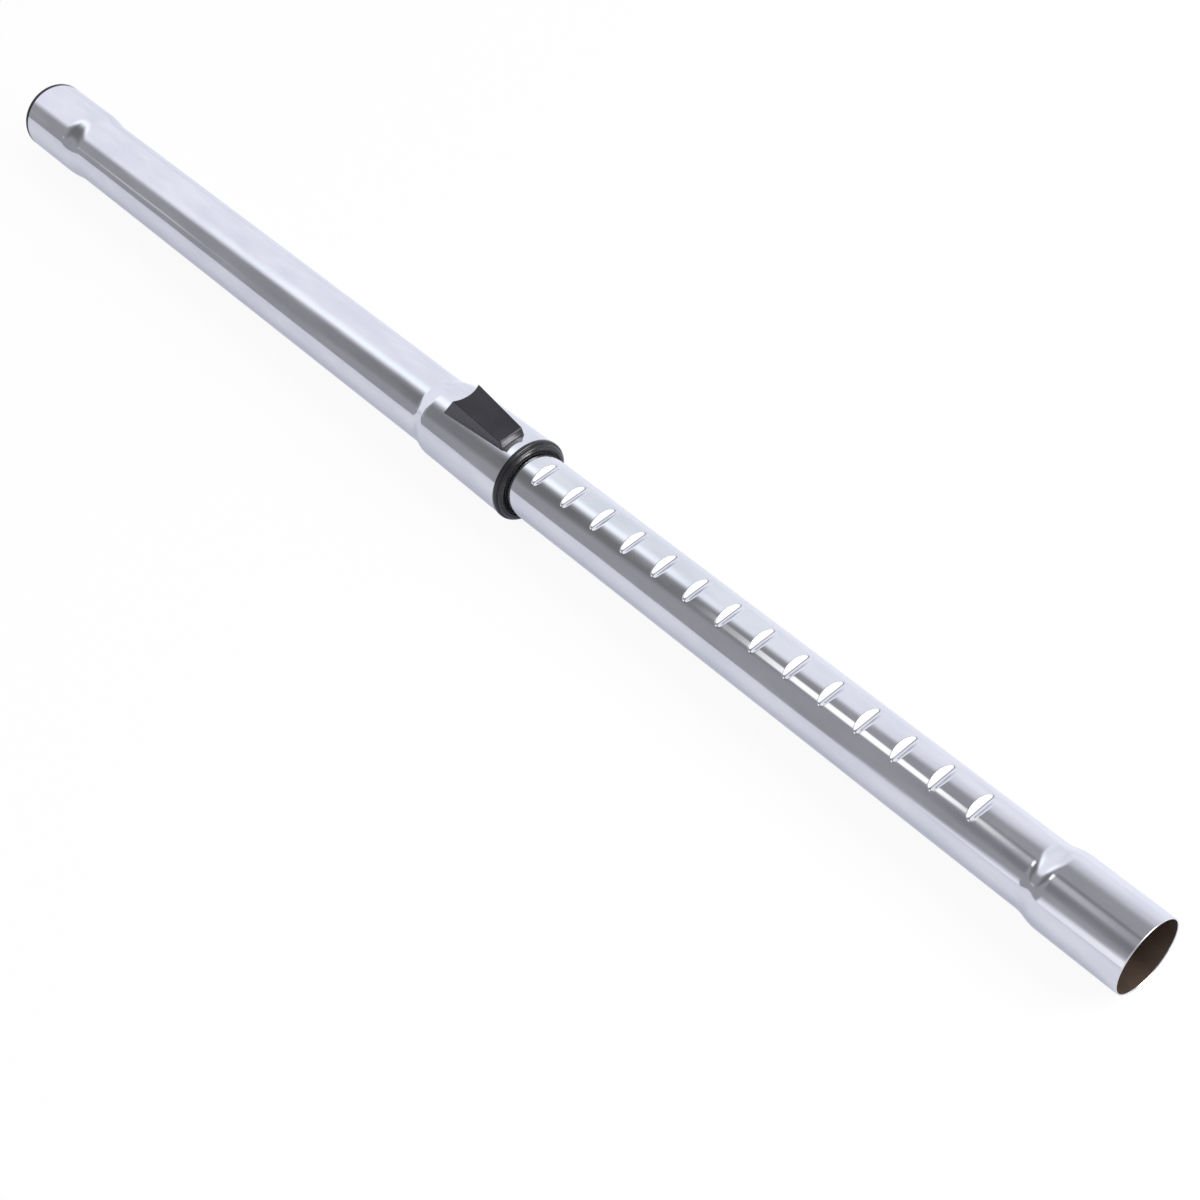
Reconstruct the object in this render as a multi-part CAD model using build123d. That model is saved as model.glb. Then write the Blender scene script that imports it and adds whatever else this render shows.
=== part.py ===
# Telescopic vacuum wand lying along X, hose end at x = 0, release button facing +Z, sizes in mm.
import os
from math import cos, radians, sin, sqrt

from build123d import *

os.makedirs("parts", exist_ok=True)

# Tube sections, worked out from the inner tube
wall = 0.6
inner_od = 31.5
tube_gap = 1.15
latch_space = 3.85
housing_taper = 0.8
hose_step = 1.4
tool_step = 1.75

# Lengths along the wand
hose_straight = 40.0
hose_cone = 10.0
outer_run = 302.5
housing_cone = 6.0
housing_length = 56.3
collar_length = 3.9
shoulder_cone = 6.5
tool_straight = 42.0
wand_length = 770.0
swage_round = 9.0
housing_round = 6.0
rim_round = 0.25

# Notch row pressed into the inner tube
notch_pitch = 19.85
notch_lead = 12.5
notch_margin = 24.0
notch_depth = 1.85
notch_radius = 2.5
press_wall = 0.42

# Clearances
tube_slide = 0.15
seal_slide = 0.05
carrier_slide = 0.2
cap_slide = 0.25
window_slack = 0.4
window_front = 9.0
bead_gap = 0.2
arm_gap = 0.25
lug_slack = 0.1

# Hidden end of the inner tube
tail_over = 1.0
bush_length = 16.0
bush_stop_gap = 0.3
bush_round = 0.4
seal_set = 3.0
seal_width = 4.0
seal_depth = 0.6
lug_d = 5.0
lug_set = 4.0

# Guide sleeve
sleeve_reach = 6.2
sleeve_set = 5.0
end_wall = 2.5
pocket_half = 7.5
anchor_length = 11.0
anchor_rise = 1.45
spring_floor = 0.4
core_starts = (29.0, 44.0, 44.0)
core_end = 90.0
core_floor = 0.8
core_rib = 1.4
tail_slot = 8.0
spigot_length = 6.5
spigot_wall = 1.9
stake_d = 2.4
stake_spread = 2.6
stake_head_d = 3.8
stake_head = 0.8

# Latch leaf
leaf_thick = 0.45
leaf_half = 4.7
leaf_lift = 0.3
leaf_bend = 2.5
leaf_toe = 1.0
ear_half = 7.2
ear_reach = 14.0
ear_length = 3.0
ear_base = 4.0
ear_slope = 0.25

# Release slide
travel = 4.0
carrier_set = 3.0
plate_length = 11.0
plate_drop = 1.35
web_length = 3.5
arm_lap = 0.8
wing_inner = 20.0
wing_outer = 38.0
post_set = 0.5
post_length = 9.5
post_half = 4.2
post_rise = 4.7
post_lead = 0.6
post_wall = 1.3

# Return springs
spring_wire = 0.5
spring_od = 2.6
spring_length = 16.0
spring_turns = 6
spring_room = 0.35

# Button cap
cap_tail = 11.5
cap_front_gap = 1.8
cap_rear_half = 8.75
cap_front_half = 6.7
cap_lean = 8.0
cap_rear_rise = 9.6
cap_top_half = 7.6
cap_nose_set = 0.6
cap_nose_rise = 3.5
cap_wall = 1.3
cap_edge = 0.5
scoop_radius = 16.0
scoop_depth = 3.2
cap_nose_edge = 0.8
socket_wall = 1.0

# Collar and its wiper
collar_step = 0.3
collar_flange = 2.2
collar_shoulder = 1.2
collar_round = 1.1
flange_round = 0.8
collar_heel = 0.5
wiper_band = 1.4
recess_depth = 2.6
wiper_thick = 1.8
wiper_lip = 0.6

# Radii that several pieces share
inner_r = inner_od / 2
inner_bore = inner_r - wall
outer_bore = inner_r + tube_gap
outer_r = outer_bore + wall
housing_bore = inner_r + latch_space
housing_r = housing_bore + wall
hose_r = outer_r + hose_step
tool_r = inner_r + tool_step
sleeve_bore = inner_r + tube_slide
bush_r = outer_bore - tube_slide
collar_r = housing_r + collar_step
recess_r = inner_r + wiper_band

# Places along the wand that several pieces share
hose_end = hose_straight + hose_cone
housing_start = hose_end + outer_run
housing_full = housing_start + housing_cone
housing_end = housing_full + housing_length
collar_face = housing_end + collar_length
shoulder_end = wand_length - tool_straight
shoulder_start = shoulder_end - shoulder_cone
sleeve_tail = housing_start - sleeve_reach
sleeve_rear = housing_full + sleeve_set
pocket_rear = sleeve_rear + end_wall
anchor_end = pocket_rear + anchor_length
bush_front = sleeve_tail - bush_stop_gap
bush_rear = bush_front - bush_length
inner_tail = bush_rear - tail_over
latch_notch = collar_face + notch_lead - notch_pitch
notch_count = int((shoulder_start - notch_margin - latch_notch) / notch_pitch) + 1
ear_root = anchor_end + ear_reach
carrier_rear = anchor_end + carrier_set
web_end = carrier_rear + web_length
post_rear = carrier_rear + post_set
post_front = post_rear + post_length
cap_front = housing_end - travel - cap_front_gap
cap_rear = carrier_rear - cap_tail


def housing_at(x):
    # Outside radius of the housing, which narrows a little towards the neck.
    return housing_r - housing_taper * (housing_end - x) / housing_length


# Heights over the axis that several pieces share
notch_axis = inner_r - notch_depth + notch_radius
leaf_under = inner_r + leaf_lift
leaf_top = leaf_under + leaf_thick
anchor_floor = inner_r + anchor_rise
slide_roof = housing_at(carrier_rear) - wall
plate_under = slide_roof - plate_drop
post_top = housing_r + post_rise
spring_r = (sleeve_bore + spring_floor + slide_roof) / 2
across = Rot(90, 0, 0)


def lathe(points, rounds=()):
    # Turned solid from (x, radius) points, with some corners of the outline rounded.
    face = make_face(Polyline(*points, close=True))
    for corner, radius in rounds:
        spot = face.vertices().sort_by_distance((corner[0], corner[1], 0))[0]
        face = fillet(spot, radius)
    return revolve(Plane.XZ * face, Axis.X)


def ring(x0, x1, r0, r1, rounds=()):
    return lathe([(x0, r0), (x1, r0), (x1, r1), (x0, r1)], rounds)


def block(x0, x1, y0, y1, z0, z1):
    return Pos((x0 + x1) / 2, (y0 + y1) / 2, (z0 + z1) / 2) * Box(x1 - x0, y1 - y0, z1 - z0)


def side_plate(points, y0, y1):
    # Flat outline in X and Z, thick from y0 to y1.
    face = make_face(Polyline(*points, close=True))
    return Pos(0, (y0 + y1) / 2, 0) * extrude(Plane.XZ * face, amount=(y1 - y0) / 2, both=True)


def sector(x0, x1, r0, r1, side, a0, a1):
    # Part of a ring on one side, between two angles from +Z.
    far = 3 * r1
    rays = [(side * far * sin(radians(a)), far * cos(radians(a))) for a in (a0, (a0 + a1) / 2, a1)]
    wedge = extrude(Plane.YZ * make_face(Polyline((0, 0), *rays, close=True)), amount=x1 - x0)
    return ring(x0, x1, r0, r1) & (Pos(x0, 0, 0) * wedge)


def on_side(side, near, far):
    # The span from near to far on the +Y or the -Y side, lowest first.
    return sorted((side * near, side * far))


def outer_form(shrink):
    # Outer tube as a solid bar, or its hollow when shrunk by the wall.
    points = [
        (0, 0),
        (0, hose_r - shrink),
        (hose_straight, hose_r - shrink),
        (hose_end, outer_r - shrink),
        (housing_start, outer_r - shrink),
        (housing_full, housing_at(housing_full) - shrink),
        (housing_end, housing_r - shrink),
        (housing_end, 0),
    ]
    rounds = [(points[2], swage_round), (points[3], swage_round)]
    rounds += [(points[4], housing_round), (points[5], housing_round)]
    return lathe(points, rounds)


def make_outer_tube():
    tube = outer_form(0) - outer_form(wall)
    start = post_rear - 2 * window_slack
    end = post_front + window_front
    opening = extrude(RectangleRounded(end - start, 2 * (post_half + window_slack), 1.5), amount=3, both=True)
    tube -= Pos((start + end) / 2, 0, housing_r) * opening
    rims = tube.edges().filter_by(GeomType.CIRCLE).filter_by(lambda e: abs(e.center().X) < 0.01)
    return fillet(rims, rim_round)


def inner_form(shrink):
    points = [
        (inner_tail, 0),
        (inner_tail, inner_r - shrink),
        (shoulder_start, inner_r - shrink),
        (shoulder_end, tool_r - shrink),
        (wand_length, tool_r - shrink),
        (wand_length, 0),
    ]
    return lathe(points, [(points[2], swage_round), (points[3], swage_round)])


def make_inner_tube():
    tube = inner_form(0) - inner_form(wall)
    spots = [Pos(latch_notch + notch_pitch * i, 0, notch_axis) * across for i in range(notch_count)]
    core = ring(inner_tail, shoulder_start, 0, inner_bore + wall / 2)
    # Each press mark stands in on the bore where it is sunk on the outside, in sheet that the press has thinned.
    for spot in spots:
        tube += (spot * Cylinder(notch_radius + press_wall, inner_od)) & core
    for spot in spots:
        tube -= spot * Cylinder(notch_radius, inner_od)
    tube -= Pos(bush_front - lug_set, 0, 0) * across * Cylinder(lug_d / 2, 2 * inner_od)
    rims = tube.edges().filter_by(GeomType.CIRCLE).filter_by(lambda e: abs(e.center().X - wand_length) < 0.01)
    return fillet(rims, rim_round)


def make_rear_bush():
    seal_rear = bush_rear + seal_set
    body = ring(bush_rear, bush_front, inner_r, bush_r, [((bush_rear, bush_r), bush_round)])
    body -= ring(seal_rear, seal_rear + seal_width, bush_r - seal_depth, bush_r + 1)
    lugs = Pos(bush_front - lug_set, 0, 0) * across * Cylinder((lug_d - lug_slack) / 2, 2 * inner_od)
    return body + (lugs & ring(bush_rear, bush_front, inner_bore, inner_r + tube_gap / 4))


def make_air_seal():
    start = bush_rear + seal_set
    return ring(start, start + seal_width, bush_r - seal_depth, outer_bore - seal_slide)


def make_cores(side):
    # Hollows that keep the upper flank of the moulding to an even wall, with ribs between them.
    start = pocket_rear
    end = housing_end - spigot_length - core_rib
    step = (end - start + core_rib) / len(core_starts)
    cells = [(start + step * i, high) for i, high in enumerate(core_starts)]
    floor = sleeve_bore + core_floor
    return [sector(x, x + step - core_rib, floor, housing_r, side, high, core_end) for x, high in cells]


def make_guide_sleeve():
    past = housing_end + 1
    body = ring(sleeve_rear, housing_end, sleeve_bore, housing_r) & outer_form(wall)
    body += ring(sleeve_tail, sleeve_rear + end_wall, sleeve_bore, bush_r)
    body -= block(sleeve_tail - 1, sleeve_rear, -tail_slot, tail_slot, 0, housing_r)
    body -= ring(housing_end - spigot_length, past, housing_bore - spigot_wall, housing_r)
    body -= block(anchor_end, past, -pocket_half, pocket_half, 0, housing_r)
    body -= block(pocket_rear, past, -pocket_half, pocket_half, anchor_floor, housing_r)
    for side in (-1, 1):
        body -= sector(
            carrier_rear - carrier_slide,
            web_end + spring_length,
            sleeve_bore + spring_floor,
            housing_r,
            side,
            wing_inner - 5,
            wing_outer + 2,
        )
        body -= make_cores(side)
    # Two stakes hold the root of the latch leaf, with their heads melted over.
    grow = (Align.CENTER, Align.CENTER, Align.MIN)
    for y in (-stake_spread, stake_spread):
        root = Pos((pocket_rear + anchor_end) / 2, y, anchor_floor)
        body += root * Cylinder(stake_d / 2, leaf_thick + stake_head, align=grow)
        body += root * Pos(0, 0, leaf_thick) * Cylinder(stake_head_d / 2, stake_head, align=grow)
    return body


def make_collar():
    # Flange over the mouth of the housing, with a smaller nose in front of it.
    flange_end = housing_end + collar_flange
    nose_r = collar_r - collar_shoulder
    points = [
        (housing_end, sleeve_bore),
        (collar_face, sleeve_bore),
        (collar_face, nose_r),
        (flange_end, nose_r),
        (flange_end, collar_r),
        (housing_end, collar_r),
    ]
    body = lathe(points, [(points[2], collar_round), (points[4], flange_round), (points[5], collar_heel)])
    body -= ring(collar_face - recess_depth, collar_face + 1, 0, recess_r)
    spigot = ring(housing_end - spigot_length, housing_end, housing_bore - spigot_wall, housing_r)
    spigot -= block(housing_end - 2 * spigot_length, housing_end, -pocket_half, pocket_half, 0, 2 * housing_r)
    return body + (spigot & outer_form(wall))


def make_wiper_ring():
    start = collar_face - recess_depth
    lip = ((start + wiper_thick, inner_r + seal_slide), wiper_lip)
    return ring(start, start + wiper_thick, inner_r + seal_slide, recess_r, [lip])


def make_latch_spring():
    bead_r = notch_radius - bead_gap
    bend = anchor_end + leaf_bend
    strip_end = latch_notch - bead_r + leaf_thick
    toe = latch_notch + bead_r - leaf_thick
    root = pocket_rear + carrier_slide
    kink = leaf_thick / 3
    leaf = side_plate(
        [
            (root, anchor_floor),
            (anchor_end, anchor_floor),
            (bend, leaf_under),
            (strip_end, leaf_under),
            (strip_end, leaf_top),
            (bend + kink, leaf_top),
            (anchor_end + kink, anchor_floor + leaf_thick),
            (root, anchor_floor + leaf_thick),
        ],
        -leaf_half,
        leaf_half,
    )
    leaf += block(toe, toe + leaf_toe, -leaf_half, leaf_half, leaf_under, leaf_top)
    # The cross bead is the lower half of a bent tube of leaf thickness.
    bead = Cylinder(bead_r, 2 * leaf_half) - Cylinder(bead_r - leaf_thick, 2 * leaf_half)
    bead = Pos(latch_notch, 0, notch_axis) * across * bead
    high = leaf_under + leaf_thick / 2
    leaf += bead - block(latch_notch - 4, latch_notch + 4, -leaf_half, leaf_half, high, high + 9)
    ear_tip = ear_root - ear_length
    rise = ear_slope * ear_length
    for side in (-1, 1):
        leaf += block(
            ear_root, ear_root + ear_base, *on_side(side, leaf_half - 0.5, ear_half), leaf_under, leaf_top
        )
        leaf += side_plate(
            [
                (ear_tip, leaf_under + rise),
                (ear_root, leaf_under),
                (ear_root, leaf_top),
                (ear_tip, leaf_top + rise),
            ],
            *on_side(side, leaf_half + 0.15, ear_half),
        )
    for y in (-stake_spread, stake_spread):
        leaf -= Pos((pocket_rear + anchor_end) / 2, y, anchor_floor) * Cylinder(stake_d / 2, 4)
    return leaf


def make_button_carrier():
    arm_inner = leaf_half + 2 * carrier_slide
    arm_outer = pocket_half - carrier_slide
    arm_floor = sqrt(inner_r**2 - arm_inner**2) + 3 * carrier_slide
    roof = ring(carrier_rear, carrier_rear + plate_length, 0, slide_roof - carrier_slide)
    body = block(carrier_rear, web_end, -arm_outer, arm_outer, plate_under, housing_r)
    body += block(carrier_rear, carrier_rear + plate_length, -leaf_half, leaf_half, plate_under, housing_r)
    # Each arm has a ramp that rides under an ear of the latch leaf and lifts it.
    arm_tip = ear_root - arm_lap
    tip_top = leaf_under + ear_slope * arm_lap - arm_gap
    arm_top = leaf_under + ear_slope * ear_length - arm_gap / 4
    ramp = arm_tip - (arm_top - tip_top) / ear_slope
    for side in (-1, 1):
        span = on_side(side, arm_inner, arm_outer)
        body += block(carrier_rear, web_end, *span, arm_floor, plate_under + plate_drop / 4)
        body += side_plate(
            [
                (carrier_rear, arm_floor),
                (arm_tip, arm_floor),
                (arm_tip, tip_top),
                (ramp, arm_top),
                (carrier_rear, arm_top),
            ],
            *span,
        )
        body += sector(
            carrier_rear, web_end, sleeve_bore + 1.5 * spring_floor, housing_r, side, wing_inner, wing_outer
        )
    body &= roof
    post = block(post_rear, post_front, -post_half, post_half, plate_under, post_top)
    body += chamfer(post.edges().group_by(Axis.Z)[-1], post_lead)
    inside = post_half - post_wall
    return body - block(
        post_rear + post_wall, post_front - post_wall, -inside, inside, 0, post_top - post_wall
    )


def make_return_spring(side):
    usable = spring_length - spring_wire
    path = Helix(pitch=usable / spring_turns, height=usable, radius=(spring_od - spring_wire) / 2)
    coil = sweep((path ^ 0) * Circle(spring_wire / 2), path=path, is_frenet=True)
    out = pocket_half + spring_room + spring_od / 2
    place = Pos(web_end + spring_wire / 2, side * out, sqrt(spring_r**2 - out**2))
    return place * Rot(0, 90, 0) * coil


def cap_body(inset):
    # Wedge with drafted sides, drawn in by the inset on every face but the underside.
    rear_foot = sqrt(housing_at(cap_rear) ** 2 - cap_rear_half**2)
    front_foot = sqrt(housing_at(cap_front) ** 2 - cap_front_half**2)
    top = housing_r + cap_rear_rise
    nose = housing_r + cap_nose_rise
    top_rear = cap_rear + cap_lean
    nose_x = cap_front - cap_nose_set
    base = rear_foot - 3
    lean = cap_lean / (top - rear_foot)
    slope = (top - nose) / (nose_x - top_rear)
    wedge = side_plate(
        [
            (cap_rear + inset - lean * (rear_foot - base), base),
            (cap_front + cap_edge - inset, base),
            (nose_x - inset, nose - inset * (1 - slope)),
            (top_rear + inset * (1 - lean), top - inset * (1 + slope)),
        ],
        -2 * cap_rear_half,
        2 * cap_rear_half,
    )
    foot = Vector(cap_rear, cap_rear_half - inset, rear_foot)
    along = Vector(cap_front, cap_front_half - inset, front_foot) - foot
    up = Vector(top_rear, cap_top_half - inset, top) - foot
    flank = Plane(origin=foot, x_dir=along, z_dir=up.cross(along)) * Pos(0, 0, 20) * Box(200, 200, 40)
    wedge -= flank
    wedge -= mirror(flank, Plane.XZ)
    scoop_x = top_rear + inset * (1 - lean) + scoop_depth - scoop_radius * sqrt(1 + lean**2)
    scoop = Plane(origin=(scoop_x, 0, top), x_dir=(0, 1, 0), z_dir=(cap_lean, 0, top - rear_foot))
    return wedge - scoop * Cylinder(scoop_radius, 80)


def make_release_button():
    cap = cap_body(0)
    # The nose and the ridges are rounded; the horns at the rear stay sharp.
    horn_end = cap_rear + 2 * cap_lean
    upper = cap.edges().filter_by(lambda e: e.center().X > horn_end and e.center().Z > housing_r)
    cap = fillet(upper.filter_by(Axis.Y), cap_nose_edge)
    upper = cap.edges().filter_by(lambda e: e.center().X > horn_end and e.center().Z > housing_r)
    cap = fillet(upper.filter_by(lambda e: abs(e.center().Y) > 1), cap_edge)
    cap -= cap_body(cap_wall)
    side = post_half + socket_wall
    socket = block(post_rear - socket_wall, post_front + socket_wall, -side, side, housing_bore, 2 * housing_r)
    cap += socket & cap_body(cap_wall / 2)
    cap -= block(post_rear, post_front, -post_half, post_half, 0, post_top)
    return cap - outer_form(-cap_slide)


pieces = {
    "outer_tube": make_outer_tube(),
    "inner_tube": make_inner_tube(),
    "collar": make_collar(),
    "wiper_ring": make_wiper_ring(),
    "guide_sleeve": make_guide_sleeve(),
    "latch_spring": make_latch_spring(),
    "button_carrier": make_button_carrier(),
    "release_button": make_release_button(),
    "return_spring_left": make_return_spring(1),
    "return_spring_right": make_return_spring(-1),
    "rear_bush": make_rear_bush(),
    "air_seal": make_air_seal(),
}
for name, piece in pieces.items():
    export_step(piece, f"parts/{name}.step")
    print(name, len(piece.solids()), round(piece.volume, 1))
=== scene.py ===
import math

import bmesh
import bpy
from mathutils import Matrix, Vector


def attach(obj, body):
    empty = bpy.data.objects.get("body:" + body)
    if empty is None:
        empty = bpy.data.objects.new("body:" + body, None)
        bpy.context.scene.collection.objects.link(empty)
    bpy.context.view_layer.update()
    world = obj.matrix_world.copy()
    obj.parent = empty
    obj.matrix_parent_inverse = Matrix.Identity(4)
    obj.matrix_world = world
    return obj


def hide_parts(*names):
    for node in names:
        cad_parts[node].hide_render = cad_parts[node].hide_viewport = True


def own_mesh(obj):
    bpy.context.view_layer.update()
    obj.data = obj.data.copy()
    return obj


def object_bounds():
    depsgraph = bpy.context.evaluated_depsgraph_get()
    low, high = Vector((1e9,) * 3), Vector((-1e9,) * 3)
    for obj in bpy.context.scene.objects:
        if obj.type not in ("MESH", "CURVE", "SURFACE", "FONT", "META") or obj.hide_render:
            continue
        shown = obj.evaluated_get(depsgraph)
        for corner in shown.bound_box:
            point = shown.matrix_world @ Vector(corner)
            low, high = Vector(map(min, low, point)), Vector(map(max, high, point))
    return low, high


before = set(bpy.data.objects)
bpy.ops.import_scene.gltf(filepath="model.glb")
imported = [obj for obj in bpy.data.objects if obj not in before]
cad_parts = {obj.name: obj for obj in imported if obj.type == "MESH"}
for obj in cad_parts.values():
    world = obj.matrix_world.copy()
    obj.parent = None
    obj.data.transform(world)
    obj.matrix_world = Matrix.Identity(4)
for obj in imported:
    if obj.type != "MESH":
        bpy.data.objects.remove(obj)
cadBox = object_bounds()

mm = 0.001
sharpDeg = 40


def hexLinear(code):
    # sRGB hex to the linear colour that the shaders take
    parts = [int(code[i:i + 2], 16) / 255 for i in (1, 3, 5)]
    return tuple(c / 12.92 if c <= 0.04045 else ((c + 0.055) / 1.055) ** 2.4 for c in parts) + (1.0,)


def addNode(tree, kind, settings=None, inputs=None):
    # one node: settings are its own fields, inputs are constants or (node, output) links
    node = tree.nodes.new(kind)
    for key, value in (settings or {}).items():
        setattr(node, key, value)
    for key, value in (inputs or {}).items():
        if isinstance(value, tuple) and isinstance(value[0], bpy.types.Node):
            tree.links.new(value[0].outputs[value[1]], node.inputs[key])
        else:
            node.inputs[key].default_value = value
    return node


def fillRamp(node, stops):
    # stops are (place, linear colour), in rising order
    ramp = node.color_ramp
    while len(ramp.elements) < len(stops):
        ramp.elements.new(0.5)
    for element, (place, colour) in zip(ramp.elements, stops):
        element.position = place
        element.color = colour


def newMaterial(name):
    material = bpy.data.materials.new(name)
    material.use_nodes = True
    tree = material.node_tree
    tree.nodes.clear()
    return material, tree


def closeMaterial(tree, shader, output):
    addNode(tree, "ShaderNodeOutputMaterial", inputs={"Surface": (shader, output)})


def perMm(size):
    # noise scale for a pattern of this many millimetres
    return 1 / (mm * size)


# Bright chrome plate on drawn steel tube: a mirror with slow waves from the drawing bench that bend the
# reflections, a faint grain along the draw, and hazy patches from handling.
chrome = {"tint": "#efeff2", "shade": "#e5e6ea", "rough": (0.05, 0.12), "hazeMm": (30.0, 8.0),
          "waveMm": (80.0, 9.0), "waveDeep": 0.09, "grainMm": (45.0, 0.5), "grainDeep": 0.004}


def chromeMaterial():
    material, tree = newMaterial("chrome plate on drawn steel")
    place = addNode(tree, "ShaderNodeTexCoord")
    noise = {}
    # the grain is drawn coarser than the real one, to show
    for key, detail in (("hazeMm", 4.0), ("waveMm", 2.0), ("grainMm", 3.0)):
        along, cross = (perMm(size) for size in chrome[key])
        stretch = addNode(tree, "ShaderNodeMapping",
                          inputs={"Vector": (place, "Object"), "Scale": (along, cross, cross)})
        noise[key] = addNode(tree, "ShaderNodeTexNoise",
                             inputs={"Vector": (stretch, "Vector"), "Scale": 1.0, "Detail": detail})
    tone = addNode(tree, "ShaderNodeValToRGB", inputs={"Fac": (noise["hazeMm"], "Fac")})
    fillRamp(tone, [(0.35, hexLinear(chrome["shade"])), (0.65, hexLinear(chrome["tint"]))])
    low, high = chrome["rough"]
    rough = addNode(tree, "ShaderNodeMapRange",
                    inputs={"Value": (noise["hazeMm"], "Fac"), "From Min": 0.35, "From Max": 0.7,
                            "To Min": low, "To Max": high})
    wave = addNode(tree, "ShaderNodeBump", inputs={"Height": (noise["waveMm"], "Fac"), "Strength": 1.0,
                                                   "Distance": chrome["waveDeep"] * mm})
    grain = addNode(tree, "ShaderNodeBump", inputs={"Height": (noise["grainMm"], "Fac"), "Strength": 1.0,
                                                    "Distance": chrome["grainDeep"] * mm, "Normal": (wave, "Normal")})
    shader = addNode(tree, "ShaderNodeBsdfPrincipled",
                     inputs={"Base Color": (tone, "Color"), "Metallic": 1.0, "Roughness": (rough, "Result"),
                             "Normal": (grain, "Normal")})
    closeMaterial(tree, shader, "BSDF")
    return material


# Steels that carry no plate: a grain along the strip or round the cut, darker and rougher than the chrome.
steels = {
    # the drawn skin of the bore under a thin brown oxide film
    "bare drawn steel, oxide film": {"low": "#7a685b", "high": "#8f7d70", "rough": (0.36, 0.46),
                                     "grainMm": (60.0, 9.0, 9.0), "metal": 0.85},
    # the sawn end, deburred on a belt, is bare steel; the same dark colour on the plate beside it is a painted dark
    # reflection along the rim
    "cut steel edge and painted dark rim": {"low": "#3a3a3f", "high": "#55555b", "rough": (0.35, 0.5),
                                 "grainMm": (0.4, 6.0, 6.0), "metal": 1.0},
    # strip and wire rolled bright, grey with a satin grain
    "rolled spring steel": {"low": "#8c8c90", "high": "#a4a4a8", "rough": (0.22, 0.38),
                            "grainMm": (12.0, 0.15, 0.15), "metal": 1.0},
}


def steelMaterial(name):
    look = steels[name]
    material, tree = newMaterial(name)
    place = addNode(tree, "ShaderNodeTexCoord")
    stretch = addNode(tree, "ShaderNodeMapping",
                      inputs={"Vector": (place, "Object"), "Scale": tuple(perMm(size) for size in look["grainMm"])})
    grain = addNode(tree, "ShaderNodeTexNoise", inputs={"Vector": (stretch, "Vector"), "Scale": 1.0, "Detail": 4.0})
    tone = addNode(tree, "ShaderNodeValToRGB", inputs={"Fac": (grain, "Fac")})
    fillRamp(tone, [(0.3, hexLinear(look["low"])), (0.7, hexLinear(look["high"]))])
    low, high = look["rough"]
    rough = addNode(tree, "ShaderNodeMapRange", inputs={"Value": (grain, "Fac"), "To Min": low, "To Max": high})
    shader = addNode(tree, "ShaderNodeBsdfPrincipled",
                     inputs={"Base Color": (tone, "Color"), "Metallic": look["metal"],
                             "Roughness": (rough, "Result")})
    closeMaterial(tree, shader, "BSDF")
    return material


# Moulded plastics and rubbers: a body colour that drifts with the flow, under a spark-eroded or polished mould
# skin. The mould grain is about 0.05 mm on the real parts and is drawn coarser, to show.
flowMm = 14.0
grainDeepMm = 0.05
plastics = {
    "charcoal ABS, fine spark texture": {"low": "#272529", "high": "#323035", "rough": (0.24, 0.32), "grainMm": 0.35,
                                         "bump": 0.06, "coat": 0.0},
    "black ABS, polished mould": {"low": "#111113", "high": "#19191c", "rough": (0.2, 0.25), "grainMm": 4.0,
                                  "bump": 0.01, "coat": 0.3},
    "natural acetal, moulded": {"low": "#d8d5cb", "high": "#e2dfd6", "rough": (0.35, 0.5), "grainMm": 0.6,
                                "bump": 0.05, "coat": 0.0},
    "black acetal, moulded": {"low": "#151516", "high": "#1c1c1e", "rough": (0.35, 0.5), "grainMm": 0.6, "bump": 0.05,
                              "coat": 0.0},
    "black nitrile rubber, moulded": {"low": "#0e0e0f", "high": "#161617", "rough": (0.6, 0.8), "grainMm": 0.25,
                                      "bump": 0.15, "coat": 0.0},
}


def plasticMaterial(name):
    look = plastics[name]
    material, tree = newMaterial(name)
    place = addNode(tree, "ShaderNodeTexCoord")
    skin = addNode(tree, "ShaderNodeTexNoise",
                   inputs={"Vector": (place, "Object"), "Scale": perMm(look["grainMm"]), "Detail": 3.0})
    flow = addNode(tree, "ShaderNodeTexNoise",
                   inputs={"Vector": (place, "Object"), "Scale": perMm(flowMm), "Detail": 3.0})
    tone = addNode(tree, "ShaderNodeValToRGB", inputs={"Fac": (flow, "Fac")})
    fillRamp(tone, [(0.3, hexLinear(look["low"])), (0.7, hexLinear(look["high"]))])
    low, high = look["rough"]
    rough = addNode(tree, "ShaderNodeMapRange",
                    inputs={"Value": (skin, "Fac"), "From Min": 0.3, "From Max": 0.7, "To Min": low, "To Max": high})
    bump = addNode(tree, "ShaderNodeBump",
                   inputs={"Height": (skin, "Fac"), "Strength": look["bump"], "Distance": grainDeepMm * mm})
    shader = addNode(tree, "ShaderNodeBsdfPrincipled",
                     inputs={"Base Color": (tone, "Color"), "Roughness": (rough, "Result"), "IOR": 1.5,
                             "Normal": (bump, "Normal"), "Coat Weight": look["coat"], "Coat Roughness": 0.05})
    closeMaterial(tree, shader, "BSDF")
    return material


chromePlate = chromeMaterial()
steel = {name: steelMaterial(name) for name in steels}
plastic = {name: plasticMaterial(name) for name in plastics}
print("materials made")


def makePiece(name, verts, faces, materials, body, node, looks=None):
    # verts in millimetres; looks gives each face its place in materials
    mesh = bpy.data.meshes.new(name)
    mesh.from_pydata([Vector(v) * mm for v in verts], [], faces)
    for material in materials:
        mesh.materials.append(material)
    if looks:
        mesh.polygons.foreach_set("material_index", looks)
    shape = bmesh.new()
    shape.from_mesh(mesh)
    bmesh.ops.recalc_face_normals(shape, faces=shape.faces)
    shape.to_mesh(mesh)
    shape.free()
    mesh.shade_smooth()
    mesh.set_sharp_from_angle(angle=math.radians(sharpDeg))
    piece = bpy.data.objects.new(name, mesh)
    bpy.context.collection.objects.link(piece)
    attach(piece, body)
    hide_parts(node)
    return piece


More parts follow.
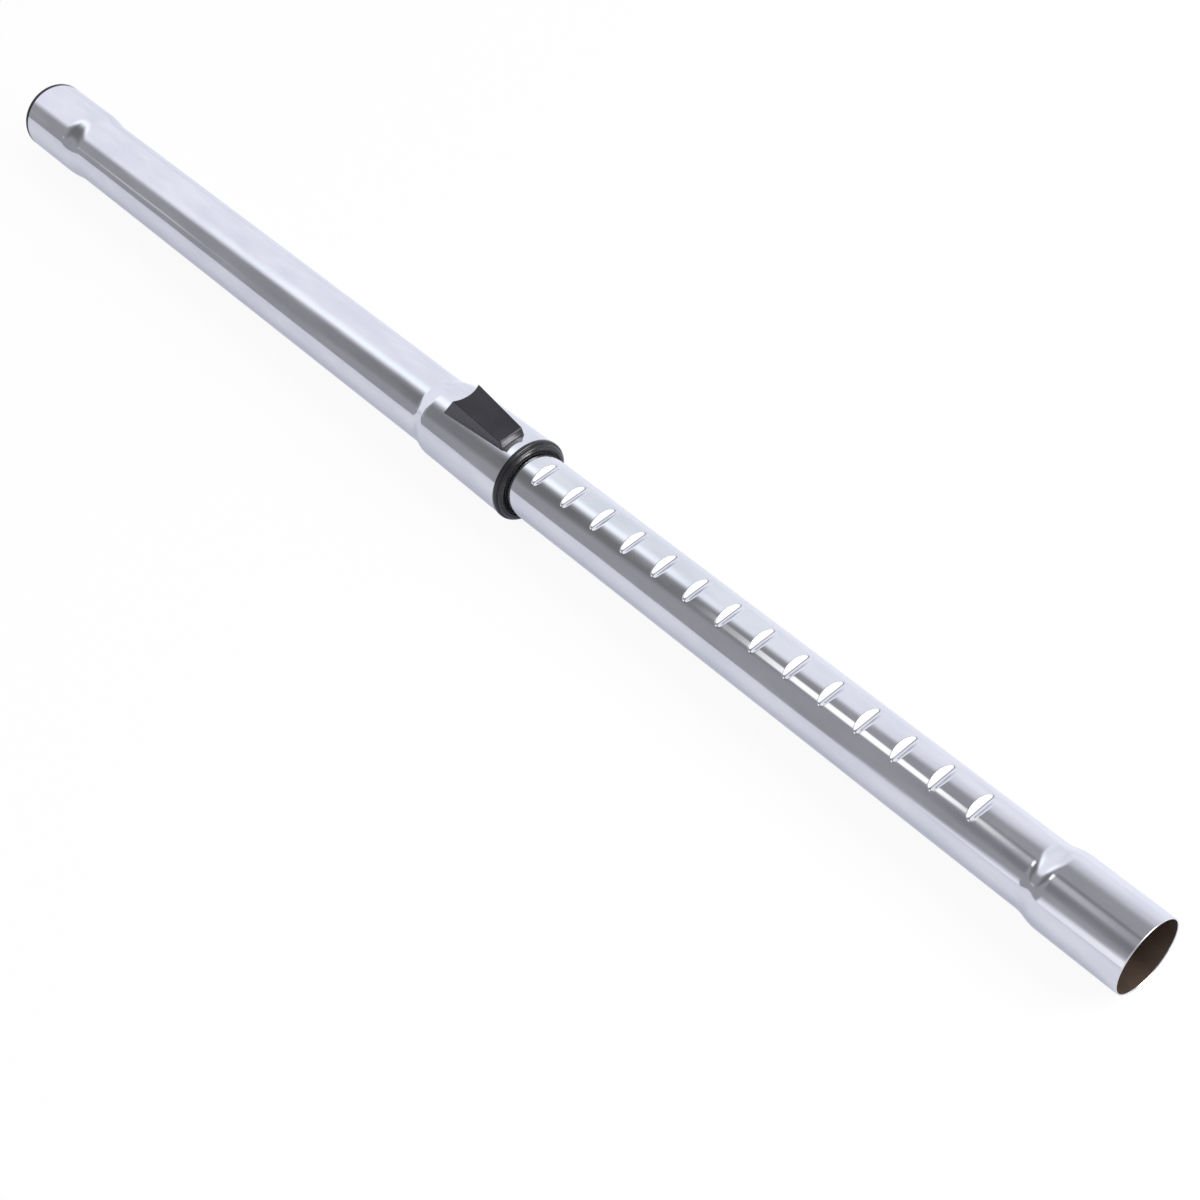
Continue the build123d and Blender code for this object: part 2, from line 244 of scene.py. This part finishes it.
def spread(start, end, step):
    # evenly set places from start to end, both included
    count = max(1, round((end - start) / step))
    return [start + (end - start) * i / count for i in range(count + 1)]


def loops(rows, cols):
    # quads over a closed outline of rows points, swept through cols places round the axis and back to the first
    faces = []
    for i in range(rows):
        for j in range(cols):
            k, n = (j + 1) % cols, (i + 1) % rows
            faces.append((i * cols + j, i * cols + k, n * cols + k, n * cols + j))
    return faces


def turned(profile, cols):
    # closed outline of (x, r) points turned about the wand's axis
    angles = [2 * math.pi * j / cols for j in range(cols)]
    verts = [(x, r * math.sin(a), r * math.cos(a)) for x, r in profile for a in angles]
    return verts, loops(len(profile), cols)


def bend(x, r, radius, start, end, count=6):
    # rounded corner: points on an arc about (x, r), angles in degrees from +x towards +r
    turn = [math.radians(a) for a in spread(start, end, (end - start) / count)]
    return [(x + radius * math.cos(t), r + radius * math.sin(t)) for t in turn]


def swaged(x, corners, radius):
    # radius of a tube drawn to a line through the corners, each corner bent to the tool's radius
    for (x0, r0), (x1, r1), (x2, r2) in zip(corners, corners[1:], corners[2:]):
        a, b = math.atan2(r1 - r0, x1 - x0), math.atan2(r2 - r1, x2 - x1)
        reach = radius * math.tan(abs(b - a) / 2)
        start = x1 - reach * math.cos(a)
        if start <= x <= x1 + reach * math.cos(b):
            side = 1 if b > a else -1
            centreX = start - side * radius * math.sin(a)
            centreR = r1 - reach * math.sin(a) + side * radius * math.cos(a)
            return centreR - side * math.sqrt(radius ** 2 - (x - centreX) ** 2)
    for (x0, r0), (x1, r1) in zip(corners, corners[1:]):
        if x <= x1:
            break
    return r0 + (r1 - r0) * (x - x0) / (x1 - x0)


# Outer tube: hose socket, plain run and tapered housing drawn from one tube
outer = {"wall": 0.6, "hose": [(-20.0, 18.9), (40.0, 18.9), (50.0, 17.5), (200.0, 17.5)], "hoseBend": 40.0,
         "box": [(200.0, 17.5), (352.5, 17.5), (358.5, 19.4), (414.8, 20.2)], "boxBend": 9.0, "cols": 192,
         "lip": [0.3, 0.5], "paintedDarkRim": 2.4, "boxRun": (364.0, 5.0),
         "rings": [(5.0, 34.0, 8.0), (36.5, 53.5, 0.5), (60.0, 345.0, 15.0), (350.5, 360.5, 0.3)],
         "window": (379.7, 399.0, 4.6, 1.5), "windowZ": (16.0, 24.0)}


def outerRadius(x):
    if x < outer["hose"][-1][0]:
        return swaged(x, outer["hose"], outer["hoseBend"])
    return swaged(x, outer["box"], outer["boxBend"])


def cutWindow(piece):
    # the slot under the button, with round corners
    start, end, half, radius = outer["window"]
    corners = [(end - radius, half - radius, 0), (start + radius, half - radius, 90),
               (start + radius, radius - half, 180), (end - radius, radius - half, 270)]
    ring = [point for x, y, turn in corners for point in bend(x, y, radius, turn, turn + 90)]
    count = len(ring)
    verts = [(x, y, z) for z in outer["windowZ"] for x, y in ring]
    sides = [(i, (i + 1) % count, count + (i + 1) % count, count + i) for i in range(count)]
    mesh = bpy.data.meshes.new("window")
    ends = [tuple(range(count))[::-1], tuple(range(count, 2 * count))]
    mesh.from_pydata([Vector(v) * mm for v in verts], [], sides + ends)
    cutter = bpy.data.objects.new("window", mesh)
    bpy.context.collection.objects.link(cutter)
    cut = piece.modifiers.new("window", "BOOLEAN")
    cut.object = cutter
    cut.solver = "EXACT"
    shaped = bpy.data.meshes.new_from_object(piece.evaluated_get(bpy.context.evaluated_depsgraph_get()))
    piece.modifiers.clear()
    piece.data = shaped
    shaped.set_sharp_from_angle(angle=math.radians(sharpDeg))
    bpy.data.objects.remove(cutter)


def outerTube():
    wall = outer["wall"]
    length, hoseR = outer["box"][-1][0], outer["hose"][0][1]
    # the first stations bound the band painted dark at the hose end, a painted dark reflection along the rim
    stations = outer["lip"] + [outer["paintedDarkRim"]]
    for start, end, step in outer["rings"]:
        stations += spread(start, end, step)
    start, step = outer["boxRun"]
    stations += spread(start, length, step)
    outside = [(x, outerRadius(x)) for x in stations]
    inside = [(x, outerRadius(x) - wall) for x in reversed(stations)]
    lip = bend(wall / 2, hoseR - wall / 2, wall / 2, 270, 90)[1:-1]
    profile = outside + inside + lip
    verts, faces = turned(profile, outer["cols"])
    # plate outside, oxide in the bore, and at the hose end the cut edge, with a painted dark reflection on the plate
    # up to 2.4 mm from the end
    looks = []
    for i in range(len(profile)):
        kind = 0 if i < len(outside) else 1 if i < len(outside) + len(inside) - 2 else 2
        looks += [2 if i < 2 else kind] * outer["cols"]
    finish = [chromePlate, steel["bare drawn steel, oxide film"], steel["cut steel edge and painted dark rim"]]
    piece = makePiece("outer_tube_skin", verts, faces, finish, "outer", "outer_tube", looks)
    cutWindow(piece)
    return piece


# Inner tube: notch row and tool end
inner = {"wall": 0.6, "pressWall": 0.42, "tubeR": 15.75, "toolR": 17.5, "tail": 329.0, "length": 770.0,
         "shoulder": [(300.0, 15.75), (721.5, 15.75), (728.0, 17.5), (800.0, 17.5)], "shoulderBend": 18.0,
         "notch": 411.35, "pitch": 19.85, "count": 15, "depth": 1.85, "notchR": 2.5, "steepDeg": 52, "soft": 0.6,
         "reach": 3.6, "pressed": (0.75, 715.0), "rings": [(705.0, 717.0, 6.0), (718.5, 731.0, 0.3)],
         "toolRun": (735.0, 8.0), "lip": [0.5, 0.3], "step": (0.2, 1.2), "fineDeg": (33, 0.8), "coarseDeg": 7.0}


def innerRadius(x):
    return swaged(x, inner["shoulder"], inner["shoulderBend"])


def pressedHeight(x, z, press):
    # the lower of the tube's own height and the nearest press mark, blended over the press edge
    i = min(max(round((x - inner["notch"]) / inner["pitch"]), 0), inner["count"] - 1)
    off = abs(x - inner["notch"] - inner["pitch"] * i)
    axis = inner["tubeR"] - inner["depth"] + inner["notchR"]
    steep = math.radians(inner["steepDeg"])
    edge = press * math.sin(steep)
    if off < edge:
        mark = axis - math.sqrt(press * press - off * off)
    else:
        mark = axis - press * math.cos(steep) + math.tan(steep) * (off - edge)
    soft = inner["soft"]
    share = min(max(0.5 + 0.5 * (mark - z) / soft, 0.0), 1.0)
    return mark + (z - mark) * share - soft * share * (1 - share)


def innerSkin(stations, angles, sink, press):
    verts = []
    half, last = inner["pressed"]
    for x in stations:
        r = innerRadius(x) - sink
        for a in angles:
            y, z = r * math.sin(a), r * math.cos(a)
            if abs(a) < half and x < last:
                z = pressedHeight(x, z, press)
            verts.append((x, y, z))
    return verts


def innerStations(step):
    reach = inner["reach"]
    places = [inner["tail"]]
    for i in range(inner["count"]):
        middle = inner["notch"] + inner["pitch"] * i
        places += [middle + off for off in spread(-reach, reach, step)]
    for start, end, gap in inner["rings"]:
        places += spread(start, end, gap)
    rim, crest = (inner["length"] - back for back in inner["lip"])
    start, gap = inner["toolRun"]
    return places + spread(start, rim, gap) + [crest]


def innerTube():
    half, step = inner["fineDeg"]
    fine = [math.radians(d) for d in spread(-half, half, step)]
    coarse = [math.radians(d) for d in spread(half, 360 - half, inner["coarseDeg"])][1:-1]
    angles = fine + [a if a < math.pi else a - 2 * math.pi for a in coarse]
    cols = len(angles)
    wall = inner["wall"]
    outStep, inStep = inner["step"]
    front, back = innerStations(outStep), innerStations(inStep)[::-1]
    lip = bend(inner["length"] - wall / 2, inner["toolR"] - wall / 2, wall / 2, 90, -90)[1:-1]
    verts = innerSkin(front, angles, 0.0, inner["notchR"])
    verts += [(x, r * math.sin(a), r * math.cos(a)) for x, r in lip for a in angles]
    verts += innerSkin(back, angles, wall, inner["notchR"] + inner["pressWall"])
    plated = len(front) + len(lip)
    looks = [0] * (plated * cols) + [1] * (len(back) * cols)
    finish = [chromePlate, steel["bare drawn steel, oxide film"]]
    faces = loops(plated + len(back), cols)
    return makePiece("inner_tube_skin", verts, faces, finish, "inner", "inner_tube", looks)


outerTube()
innerTube()
print("tubes turned")


# Collar: a flange over the mouth of the housing and a smaller nose, snapped in by a split spigot
collar = {"rear": 414.8, "face": 418.7, "bore": 15.9, "flangeR": 20.5, "flange": 2.2, "noseR": 19.3, "heel": 0.5,
          "flangeRound": 0.8, "noseRound": 1.1, "recessR": 17.15, "recess": 2.6, "cols": 192,
          "spigot": (408.3, 17.7, 19.48, 19.58), "split": 7.5}


def collarRing():
    rear, face, heel = collar["rear"], collar["face"], collar["heel"]
    flange, round1, round2 = rear + collar["flange"], collar["flangeRound"], collar["noseRound"]
    profile = [(rear, collar["bore"])]
    profile += bend(rear + heel, collar["flangeR"] - heel, heel, 180, 90)
    profile += bend(flange - round1, collar["flangeR"] - round1, round1, 90, 0, 8)
    profile += bend(flange + 0.2, collar["noseR"] + 0.2, 0.2, 180, 270, 4)
    profile += bend(face - round2, collar["noseR"] - round2, round2, 90, 0, 10)
    profile += bend(face - 0.2, collar["recessR"] + 0.2, 0.2, 0, -90, 4)
    profile += [(face - collar["recess"], collar["recessR"]), (face - collar["recess"], collar["bore"])]
    verts, faces = turned(profile, collar["cols"])
    # the spigot is a ring cut open at the top, where the latch lies
    start, low, highRear, highFront = collar["spigot"]
    gap = math.asin(collar["split"] / low)
    angles = spread(gap, 2 * math.pi - gap, math.radians(3))
    outline = [(start, low), (start, highRear), (rear, highFront), (rear, low)]
    base, cols = len(verts), len(angles)
    verts += [(x, r * math.sin(a), r * math.cos(a)) for x, r in outline for a in angles]
    for i in range(4):
        n = (i + 1) % 4
        faces += [(base + i * cols + j, base + i * cols + j + 1, base + n * cols + j + 1, base + n * cols + j)
                  for j in range(cols - 1)]
    faces += [tuple(base + i * cols + j for i in range(4)) for j in (0, cols - 1)]
    gloss = [plastic["black ABS, polished mould"]]
    return makePiece("collar_ring", verts, faces, gloss, "outer", "collar")


# Wiper: a thin rubber ring in the collar's recess, its lip just off the inner tube
wiper = {"rear": 416.1, "thick": 1.8, "lipR": 15.8, "outerR": 17.15, "lip": 0.6, "cols": 128}


def wiperRing():
    front = wiper["rear"] + wiper["thick"]
    profile = [(wiper["rear"], wiper["lipR"]), (wiper["rear"], wiper["outerR"]), (front, wiper["outerR"])]
    profile += bend(front - wiper["lip"], wiper["lipR"] + wiper["lip"], wiper["lip"], 0, -90)
    verts, faces = turned(profile, wiper["cols"])
    rubber = [plastic["black nitrile rubber, moulded"]]
    return makePiece("wiper_band", verts, faces, rubber, "outer", "wiper_ring")


# Return springs: drawn wire coils, which shorten as the button slides on the real wand; here they are built at one
# length
coil = {"start": 383.75, "run": 15.5, "wire": 0.5, "od": 2.6, "turns": 6, "out": 9.15, "high": 15.16, "steps": 24,
        "cols": 10, "keep": 0.75, "fixedX": 399.5}


def returnSpring(side, name):
    radius = (coil["od"] - coil["wire"]) / 2
    count = coil["turns"] * coil["steps"]
    cols = coil["cols"]
    verts = []
    for i in range(count + 1):
        t = 2 * math.pi * i / coil["steps"]
        x = coil["start"] + coil["run"] * i / count
        for j in range(cols):
            a = 2 * math.pi * j / cols
            r = radius + coil["wire"] / 2 * math.cos(a)
            across = side * coil["out"] + r * math.cos(t)
            verts.append((x + coil["wire"] / 2 * math.sin(a), across, coil["high"] + r * math.sin(t)))
    faces = loops(count + 1, cols)[:count * cols]
    faces += [tuple(range(cols)), tuple(range(count * cols, (count + 1) * cols))]
    wire = [steel["rolled spring steel"]]
    piece = makePiece(name + "_coil", verts, faces, wire, "outer", name)
    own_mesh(piece)
    return piece


def latchLeaf():
    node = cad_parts["latch_spring"]
    piece = bpy.data.objects.new("latch_leaf", node.data.copy())
    bpy.context.collection.objects.link(piece)
    for place in piece.material_slots:
        place.material = steel["rolled spring steel"]
    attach(piece, "outer")
    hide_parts("latch_spring")
    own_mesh(piece)
    return piece


collarRing()
wiperRing()
for side, nodeName in ((1, "return_spring_left"), (-1, "return_spring_right")):
    returnSpring(side, nodeName)
latchLeaf()
print("collar and springs made")

# The mouldings that keep their CAD form take their finish here
finishes = {
    "release_button": plastic["charcoal ABS, fine spark texture"],
    "guide_sleeve": plastic["natural acetal, moulded"],
    "button_carrier": plastic["natural acetal, moulded"],
    "rear_bush": plastic["black acetal, moulded"],
    "air_seal": plastic["black nitrile rubber, moulded"],
}
for nodeName, material in finishes.items():
    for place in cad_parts[nodeName].material_slots:
        place.material = material
print("finishes set")

# Studio: white sweep, a pale tent with an opening on the near side, and soft boxes. Panels are placed by the angle
# about the wand's axis (degrees from straight up, negative on the near side), by how far along +x they lie (-1 to
# 1), or by slant, the angle past the tent's edge, which runs askew. Each range is low, high and edge softness.
# tone, near, far and turnY give the sweep painted light and shade where metal reflects it
studio = {"floor": "#f4f4f6", "floorSize": 6.0, "seen": 0.92, "mirrored": 0.6, "near": 0.88, "far": 1.2,
          "turnY": (-0.02, 0.03), "tone": "#d4d7e6", "power": 1.3, "tent": "#d7d7e2", "edge": (4.5, 152.0, -0.535)}
white = (1.0, 1.0, 1.0, 1.0)
panels = {
    "cool ceiling": {"angle": (-30, 90, 14), "along": (-0.62, -0.47, 0.05), "low": "#ced3da", "high": "#ced3da"},
    "tent rim": {"slant": (4, 24, 10), "along": (-0.72, -0.53, 0.06), "low": "#f3f9ff", "high": "#eaf0f8"},
    "ceiling shade": {"slant": (-60, 16, 26), "along": (-0.40, 0.5, 0.07), "low": "#a4a5ab", "high": "#a4a5ab"},
    "dim room": {"slant": (-110, 0, 9), "along": (-0.89, -0.10, 0.04), "low": "#88888e", "high": "#89898e"},
    "dark corner": {"slant": (-46, -10, 9), "along": (-0.68, -0.5, 0.08), "low": "#696a6b", "high": "#616263"},
    "lower shade": {"angle": (-52, -29, 8), "along": (-0.39, -0.15, 0.03), "low": "#747478", "high": "#6e6e72"},
    "lamp edge": {"angle": (-8, 0, 3), "along": (-0.37, -0.15, 0.03), "low": "#76767a", "high": "#76767a"},
    "strip lamp": {"angle": (-24, -8, 3), "slant": (-48, 20, 4), "along": (-0.49, -0.375, 0.025),
                   "low": "#ffffff", "high": "#ffffff"},
    "strip end": {"angle": (-24, -11, 4), "along": (-0.345, -0.315, 0.03), "low": "#b6b6ba", "high": "#b6b6ba"},
    "low box": {"angle": (-88, -72, 3), "along": (-0.31, 0.1, 0.02), "low": "#e4e4e8", "high": "#e0e0e4"},
    "door light": {"angle": (-72, -67, 2), "along": (-0.772, -0.738, 0.012), "low": "#b8b8bc", "high": "#b8b8bc"},
    "front box": {"angle": (-20, 90, 10), "along": (-0.10, 2.0, 0.04), "low": "#ffffff", "high": "#ffffff"},
    "back room": {"angle": (-84, -4, 8), "along": (0.2, 2.0, 0.1), "low": "#8a8a90", "high": "#727378"},
    "back door": {"angle": (64, 86, 3), "along": (0.3, 0.77, 0.04), "low": "#77787d", "high": "#5e5f63"},
}


def makeFloor():
    mesh = bpy.data.meshes.new("floor")
    size, ground = studio["floorSize"], cadBox[0][2]
    corners = [(-size, -size), (size, -size), (size, size), (-size, size)]
    mesh.from_pydata([(x, y, ground) for x, y in corners], [], [(0, 1, 2, 3)])
    material, tree = newMaterial("white sweep paper")
    diffuse = addNode(tree, "ShaderNodeBsdfDiffuse", inputs={"Color": hexLinear(studio["floor"])})
    path = addNode(tree, "ShaderNodeLightPath")
    direct = addNode(tree, "ShaderNodeMath", {"operation": "MAXIMUM"},
                     {0: (path, "Is Camera Ray"), 1: (path, "Is Transmission Ray")})
    # metal sees the sweep with painted light and shade: greyer and bluish, dimmer in front of the wand and brighter
    # behind it
    place = addNode(tree, "ShaderNodeNewGeometry")
    parts = addNode(tree, "ShaderNodeSeparateXYZ", inputs={0: (place, "Position")})
    low, high = studio["turnY"]
    lit = addNode(tree, "ShaderNodeMapRange",
                  inputs={"Value": (parts, "Y"), "From Min": low, "From Max": high,
                          "To Min": studio["near"], "To Max": studio["far"]})
    level = addNode(tree, "ShaderNodeMix", inputs={"Factor": (direct, "Value"), "A": (lit, "Result"), "B": 1.0})
    tone = addNode(tree, "ShaderNodeMix", {"data_type": "RGBA"},
                   {"Factor": (direct, "Value"), "A": hexLinear(studio["tone"]), "B": white})
    glow = addNode(tree, "ShaderNodeEmission", inputs={"Color": (tone, "Result"), "Strength": (level, "Result")})
    seen = addNode(tree, "ShaderNodeMath", {"operation": "MULTIPLY"}, {0: (direct, "Value"), 1: studio["seen"]})
    mirrored = addNode(tree, "ShaderNodeMath", {"operation": "MULTIPLY"},
                       {0: (path, "Is Glossy Ray"), 1: studio["mirrored"]})
    share = addNode(tree, "ShaderNodeMath", {"operation": "MAXIMUM"}, {0: (mirrored, "Value"), 1: (seen, "Value")})
    mix = addNode(tree, "ShaderNodeMixShader",
                  inputs={0: (share, "Value"), 1: (diffuse, "BSDF"), 2: (glow, "Emission")})
    closeMaterial(tree, mix, "Shader")
    mesh.materials.append(material)
    floor = bpy.data.objects.new("floor", mesh)
    bpy.context.collection.objects.link(floor)


def hangPanel(tree, sources, below, panel):
    # one soft-edged panel over what hangs there already, shaded from its low edge to its high one
    mask = None
    ranges = [(sources[key], panel[key]) for key in ("angle", "slant", "along") if key in panel]
    for source, (low, high, soft) in ranges:
        for edge, start, end in ((low, 0.0, 1.0), (high, 1.0, 0.0)):
            fade = addNode(tree, "ShaderNodeMapRange", {"interpolation_type": "SMOOTHSTEP"},
                           {"Value": source, "From Min": edge - soft, "From Max": edge + soft,
                            "To Min": start, "To Max": end})
            if mask is None:
                mask = fade
            else:
                mask = addNode(tree, "ShaderNodeMath", {"operation": "MULTIPLY"}, {0: (mask, 0), 1: (fade, 0)})
    source, (low, high, soft) = ranges[0]
    rise = addNode(tree, "ShaderNodeMapRange", inputs={"Value": source, "From Min": low, "From Max": high})
    shade = addNode(tree, "ShaderNodeValToRGB", inputs={"Fac": (rise, 0)})
    fillRamp(shade, [(0.0, hexLinear(panel["low"])), (1.0, hexLinear(panel["high"]))])
    return addNode(tree, "ShaderNodeMix", {"data_type": "RGBA"},
                   {"Factor": (mask, 0), "A": below, "B": (shade, "Color")})


def makeWorld():
    world = bpy.data.worlds.new("studio")
    bpy.context.scene.world = world
    world.use_nodes = True
    tree = world.node_tree
    tree.nodes.clear()
    place = addNode(tree, "ShaderNodeTexCoord")
    parts = addNode(tree, "ShaderNodeSeparateXYZ", inputs={0: (place, "Generated")})
    turn = addNode(tree, "ShaderNodeMath", {"operation": "ARCTAN2"}, {0: (parts, "Y"), 1: (parts, "Z")})
    angle = addNode(tree, "ShaderNodeMath", {"operation": "DEGREES"}, {0: (turn, "Value")})
    start, slope, middle = studio["edge"]
    skew = addNode(tree, "ShaderNodeMath", {"operation": "MULTIPLY_ADD"},
                   {0: (parts, "X"), 1: -slope, 2: slope * middle - start})
    slant = addNode(tree, "ShaderNodeMath", {"operation": "ADD"}, {0: (angle, "Value"), 1: (skew, "Value")})
    sources = {"angle": (angle, "Value"), "slant": (slant, "Value"), "along": (parts, "X")}
    view = hexLinear(studio["tent"])
    for panel in panels.values():
        view = (hangPanel(tree, sources, view, panel), "Result")
    light = addNode(tree, "ShaderNodeBackground", inputs={"Color": view, "Strength": studio["power"]})
    plain = addNode(tree, "ShaderNodeBackground", inputs={"Color": white, "Strength": 1.0})
    path = addNode(tree, "ShaderNodeLightPath")
    direct = addNode(tree, "ShaderNodeMath", {"operation": "MAXIMUM"},
                     {0: (path, "Is Camera Ray"), 1: (path, "Is Transmission Ray")})
    both = addNode(tree, "ShaderNodeMixShader",
                   inputs={0: (direct, "Value"), 1: (light, "Background"), 2: (plain, "Background")})
    addNode(tree, "ShaderNodeOutputWorld", inputs={"Surface": (both, "Shader")})


# Soft box over the tool end: bright edges on the button's nose and the collar
softBox = {"place": (1.75, 0.7, 1.05), "aim": (0.41, 0.0, 0.02), "size": (1.0, 0.8), "radiance": 8.0}


def makeLamp():
    lamp = bpy.data.lights.new("soft box", "AREA")
    lamp.shape = "RECTANGLE"
    lamp.size, lamp.size_y = softBox["size"]
    lamp.energy = softBox["radiance"] * math.pi * lamp.size * lamp.size_y
    box = bpy.data.objects.new("soft box", lamp)
    bpy.context.collection.objects.link(box)
    box.location = softBox["place"]
    aim = Vector(softBox["aim"]) - Vector(softBox["place"])
    box.rotation_euler = aim.to_track_quat("-Z", "Y").to_euler()


# Camera: placed as the photograph's
camera = {"place": (1.00389, -0.37067, 0.69308), "right": (0.65351, 0.74932, -0.10702),
          "up": (-0.52022, 0.54734, 0.65559), "back": (0.54982, -0.37276, 0.7475), "lens": 64.8, "sensor": 36.0,
          "near": 0.01}


def makeCamera():
    view = bpy.data.objects.new("camera", bpy.data.cameras.new("camera"))
    bpy.context.collection.objects.link(view)
    turn = Matrix([camera[key] for key in ("right", "up", "back")]).transposed().to_4x4()
    view.matrix_world = Matrix.Translation(camera["place"]) @ turn
    view.data.lens = camera["lens"]
    view.data.sensor_width = camera["sensor"]
    view.data.clip_start = camera["near"]
    bpy.context.scene.camera = view


makeFloor()
makeWorld()
makeLamp()
makeCamera()
bpy.context.scene.view_settings.view_transform = "Standard"
print("studio set")
